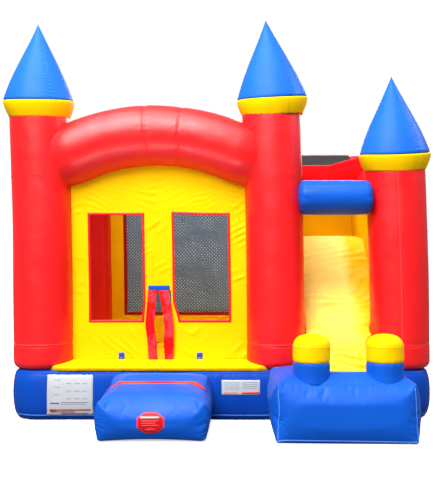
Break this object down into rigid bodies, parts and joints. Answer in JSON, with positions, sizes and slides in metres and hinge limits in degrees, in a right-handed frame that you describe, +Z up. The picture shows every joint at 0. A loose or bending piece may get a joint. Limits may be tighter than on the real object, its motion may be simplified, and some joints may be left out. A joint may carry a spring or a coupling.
{
  "type": "inflatable bounce house",
  "caption": "Inflatable castle bounce house with turrets, arched entrance, net windows, a slide lane with a padded landing, an entrance step and its blower.",
  "frame": {"origin": "centre of the base's footprint, on the ground, at the base's underside", "axes": "+Z up, +X to the right seen from the entrance side, +Y from the entrance to the back"},
  "size_m": [4.464, 4.86, 4.106],
  "materials": {
    "red_vinyl": "glossy PVC-coated polyester, woven scrim faintly visible",
    "yellow_vinyl": "glossy PVC-coated polyester, woven scrim faintly visible",
    "blue_vinyl": "glossy PVC-coated polyester, woven scrim faintly visible",
    "black_net": "knotless polyester netting, matt",
    "webbing": "woven polyester webbing, matt",
    "steel": "galvanised, light wear",
    "blower_casing": "moulded polyethylene, fine grain",
    "black_plastic": "moulded, fine grain",
    "grey_plastic": "moulded, satin"
  },
  "bodies": {
    "inflatable": {"column_front_left": "red_vinyl", "column_front_middle": "red_vinyl", "column_front_right": "red_vinyl", "column_back_left": "red_vinyl", "column_back_right": "red_vinyl", "front_arch": "red_vinyl", "left_beam": "red_vinyl", "back_beam": "red_vinyl", "middle_beam": "red_vinyl", "right_beam": "red_vinyl", "slide_cross_beam": "red_vinyl", "bounce_floor": "yellow_vinyl", "front_apron": "yellow_vinyl", "collar_front_left": "yellow_vinyl", "collar_front_middle": "yellow_vinyl", "collar_front_right": "yellow_vinyl", "front_wall": "yellow_vinyl", "left_wall": "yellow_vinyl", "back_wall": "yellow_vinyl", "divider_wall": "yellow_vinyl", "right_wall": "yellow_vinyl", "slide_bed": "yellow_vinyl", "slide_platform": "yellow_vinyl", "climbing_ramp": "yellow_vinyl", "landing_post_cap_left": "yellow_vinyl", "landing_post_cap_right": "yellow_vinyl", "base_skirt": "blue_vinyl", "base_underside": "blue_vinyl", "base_baffles": "blue_vinyl", "spire_front_left": "blue_vinyl", "spire_front_middle": "blue_vinyl", "spire_front_right": "blue_vinyl", "header_roll": "blue_vinyl", "entrance_step": "blue_vinyl", "slide_landing": "blue_vinyl", "landing_post_left": "blue_vinyl", "landing_post_right": "blue_vinyl", "inflation_sleeve": "blue_vinyl", "back_net": "black_net", "left_net": "black_net", "roof_net": "black_net", "platform_net": "black_net", "zip_tape": "webbing", "anchor_strap_left_front": "webbing", "anchor_strap_left_back": "webbing", "anchor_strap_right_front": "webbing", "anchor_strap_right_back": "webbing", "blower_housing": "blower_casing", "blower_cover": "black_plastic", "blower_motor": "black_plastic", "power_cord": "black_plastic"},
    "left_flap": {"entrance_flap_left": "red_vinyl"},
    "right_flap": {"entrance_flap_right": "red_vinyl"},
    "impeller": {"blower_impeller": "grey_plastic"},
    "switch": {"rocker_switch": "black_plastic"},
    "zip_pull": {"zip_slider": "steel"},
    "ring_left_front": {"anchor_ring_left_front": "steel"},
    "ring_left_back": {"anchor_ring_left_back": "steel"},
    "ring_right_front": {"anchor_ring_right_front": "steel"},
    "ring_right_back": {"anchor_ring_right_back": "steel"}
  },
  "joints": [
    {"name": "left_flap_swing", "type": "hinge", "parent": "inflatable", "child": "left_flap", "pos_m": [-0.771, -1.13, 0.9375], "axis": [0, 0, 1], "range_deg": [-75, 75]},
    {"name": "right_flap_swing", "type": "hinge", "parent": "inflatable", "child": "right_flap", "pos_m": [-0.533, -1.13, 0.9375], "axis": [0, 0, 1], "range_deg": [-75, 75]},
    {"name": "impeller_spin", "type": "hinge", "parent": "inflatable", "child": "impeller", "pos_m": [-1.25, 2.33, 0.27], "axis": [1, 0, 0], "continuous": true},
    {"name": "switch_rock", "type": "hinge", "parent": "inflatable", "child": "switch", "pos_m": [-1.415, 2.33, 0.391], "axis": [1, 0, 0], "range_deg": [-12, 12]},
    {"name": "zip_open", "type": "slide", "parent": "inflatable", "child": "zip_pull", "axis": [1, 0, 0], "range_m": [0, 0.5]},
    {"name": "ring_left_front_swing", "type": "hinge", "parent": "inflatable", "child": "ring_left_front", "pos_m": [-2.178, -0.7, 0.082], "axis": [0, 1, 0], "range_deg": [0, 110]},
    {"name": "ring_left_back_swing", "type": "hinge", "parent": "inflatable", "child": "ring_left_back", "pos_m": [-2.178, 1, 0.082], "axis": [0, 1, 0], "range_deg": [0, 110]},
    {"name": "ring_right_front_swing", "type": "hinge", "parent": "inflatable", "child": "ring_right_front", "pos_m": [2.178, -0.7, 0.082], "axis": [0, -1, 0], "range_deg": [0, 110]},
    {"name": "ring_right_back_swing", "type": "hinge", "parent": "inflatable", "child": "ring_right_back", "pos_m": [2.178, 1, 0.082], "axis": [0, -1, 0], "range_deg": [0, 110]}
  ]
}
